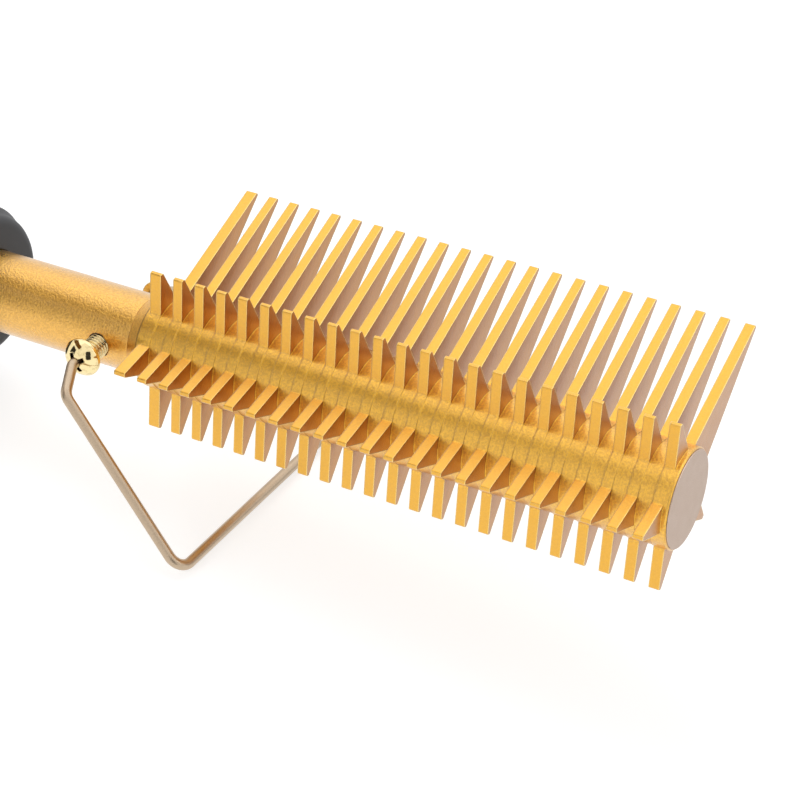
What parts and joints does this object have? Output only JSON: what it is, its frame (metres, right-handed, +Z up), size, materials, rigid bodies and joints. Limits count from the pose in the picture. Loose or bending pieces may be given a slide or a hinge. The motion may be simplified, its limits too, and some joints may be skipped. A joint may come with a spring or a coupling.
{
  "type": "electric hot comb",
  "caption": "Electric hair-straightening comb: a gold heated barrel with a long row and short rows of teeth, a wire stand and a black handle with buttons.",
  "frame": {"origin": "centre of the base of the comb's box, on the table it rests on", "axes": "+X from the handle towards the nose, +Z up from the table, as the comb rests on its stand"},
  "size_m": [0.309, 0.0644, 0.0568],
  "materials": {
    "gold_head": "gold-anodised, fine sandblasted",
    "nose_metal": "satin, champagne",
    "gold_tube": "gold-anodised, satin",
    "heater_ceramic": "matt ceramic",
    "wedge_aluminium": "mill finish",
    "wire_insulation": "braided glass sleeve",
    "screw_gold": "polished gold plate",
    "stand_steel": "champagne plated wire",
    "handle_plastic": "fine-grained dark grey, heat resistant",
    "inner_plastic": "plain moulded",
    "screw_steel": "zinc plated",
    "panel_gloss": "piano black",
    "window_clear": "smoked, polished",
    "display": "display glass",
    "button_plastic": "satin, with a plain raised sign",
    "board": "green solder mask",
    "gland_plastic": "semi-matt"
  },
  "bodies": {
    "root": {"comb_head": "gold_head", "nose_cap": "nose_metal", "neck_tube": "gold_tube", "ptc_heater": "heater_ceramic", "heater_wedge_upper": "wedge_aluminium", "heater_wedge_lower": "wedge_aluminium", "thermistor": "heater_ceramic", "thermal_fuse": "heater_ceramic", "heater_leads": "wire_insulation", "lead_insulator": "heater_ceramic", "stand_screws": "screw_gold", "heat_guard_collar": "handle_plastic", "neck_clamp": "inner_plastic", "handle_upper": "handle_plastic", "handle_lower": "handle_plastic", "handle_screws": "screw_steel", "control_panel": "panel_gloss", "display_window": "window_clear", "display_module": "display", "tact_switches": "inner_plastic", "control_board": "board", "board_screws": "screw_steel", "sensor_plug": "inner_plastic", "power_leads": "wire_insulation", "swivel_contact_block": "inner_plastic", "tail_cap": "handle_plastic"},
    "stand": {"stand_wire": "stand_steel"},
    "power_button": {"power_button": "button_plastic"},
    "plus_button": {"plus_button": "button_plastic"},
    "minus_button": {"minus_button": "button_plastic"},
    "cord_gland": {"cord_gland": "gland_plastic"}
  },
  "joints": [
    {"name": "stand_swing", "type": "hinge", "parent": "root", "child": "stand", "pos_m": [0.02952, -0.00013, 0.0277], "axis": [0, -1, 0], "range_deg": [-113, 16]},
    {"name": "power_button_press", "type": "slide", "parent": "root", "child": "power_button", "axis": [0.0767, 0, -0.9971], "range_m": [0, 0.0006], "stiffness_N_per_m": 1500},
    {"name": "plus_button_press", "type": "slide", "parent": "root", "child": "plus_button", "axis": [0.0767, 0, -0.9971], "range_m": [0, 0.0006], "stiffness_N_per_m": 1500},
    {"name": "minus_button_press", "type": "slide", "parent": "root", "child": "minus_button", "axis": [0.0767, 0, -0.9971], "range_m": [0, 0.0006], "stiffness_N_per_m": 1500},
    {"name": "gland_swivel", "type": "hinge", "parent": "root", "child": "cord_gland", "pos_m": [-0.15411, -0.00013, 0.01357], "axis": [0.9971, 0, 0.0767], "continuous": true}
  ]
}
